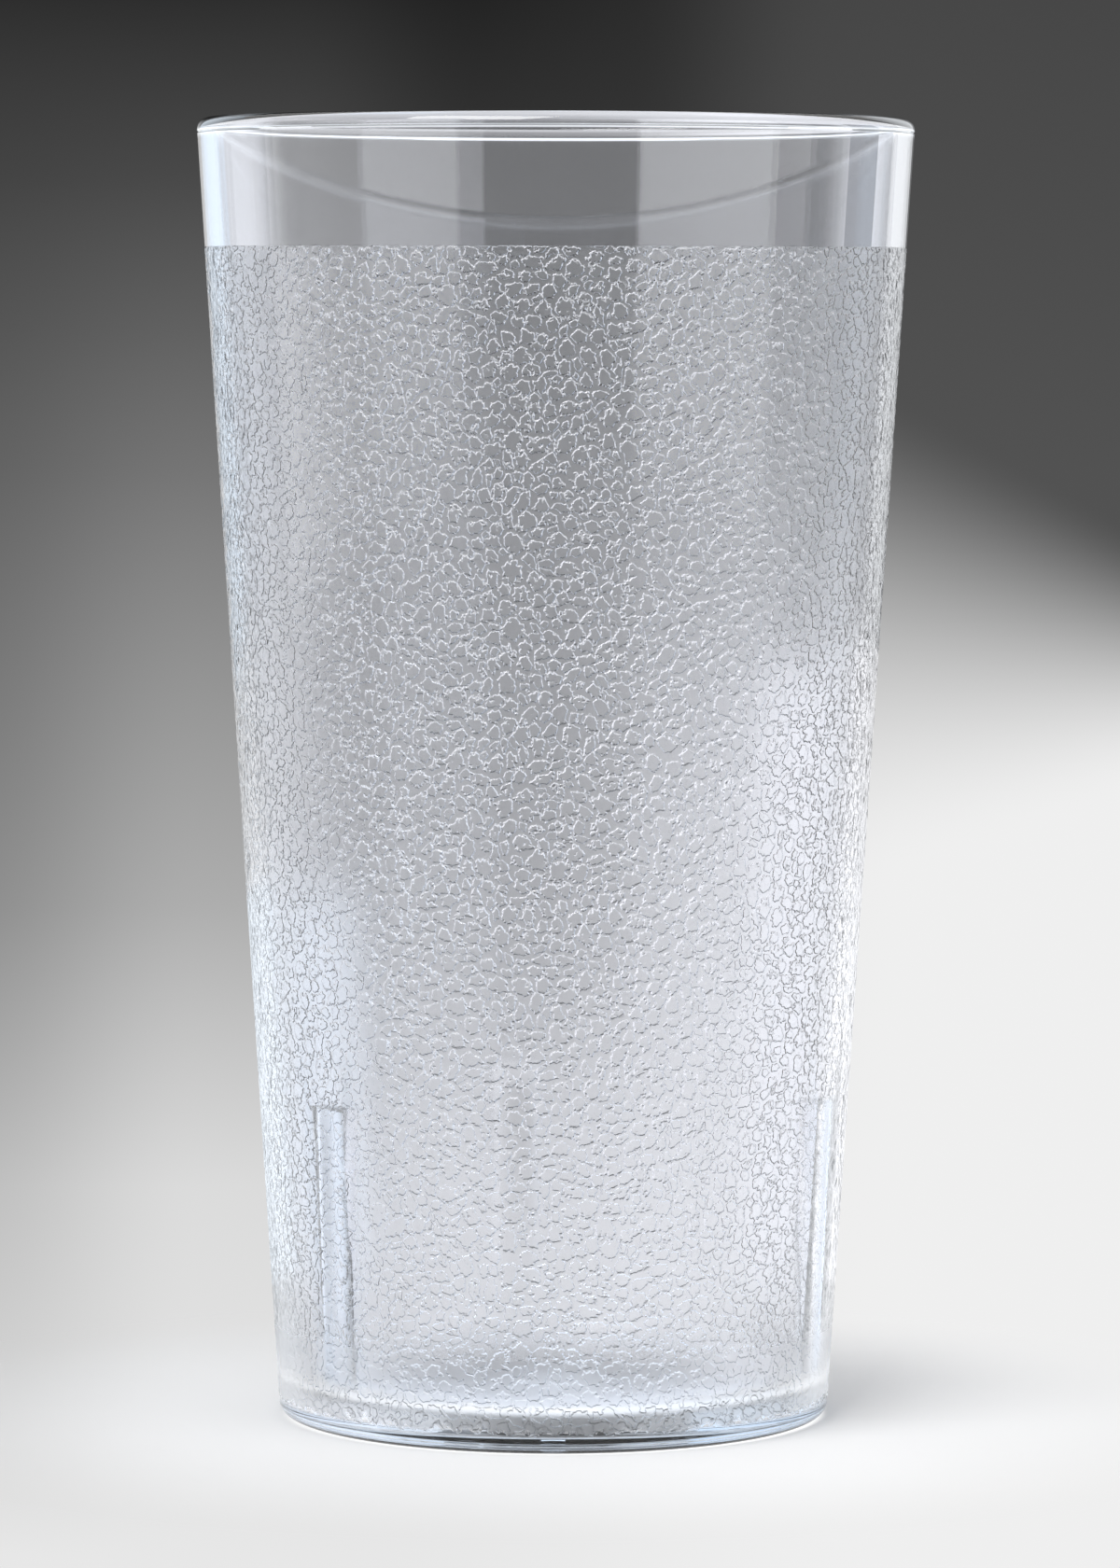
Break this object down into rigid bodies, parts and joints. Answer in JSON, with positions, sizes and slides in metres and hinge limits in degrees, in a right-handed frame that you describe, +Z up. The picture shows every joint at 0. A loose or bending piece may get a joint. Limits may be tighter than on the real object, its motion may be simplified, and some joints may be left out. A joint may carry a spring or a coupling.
{
  "type": "plastic tumbler cup",
  "caption": "Stackable clear plastic tumbler with a straight tapered wall, a smooth rim band, a pebbled outer wall and short stacking ribs inside near the bottom.",
  "frame": {"origin": "centre of the foot ring's contact plane", "axes": "+Z up along the cup's axis towards the open rim; one stacking rib points along +Y"},
  "size_m": [0.0838, 0.0838, 0.1524],
  "materials": {
    "clear_plastic": "clear, polished smooth rim band and inside, fine pebbled outer wall"
  },
  "bodies": {
    "root": {"tumbler": "clear_plastic"}
  },
  "joints": []
}
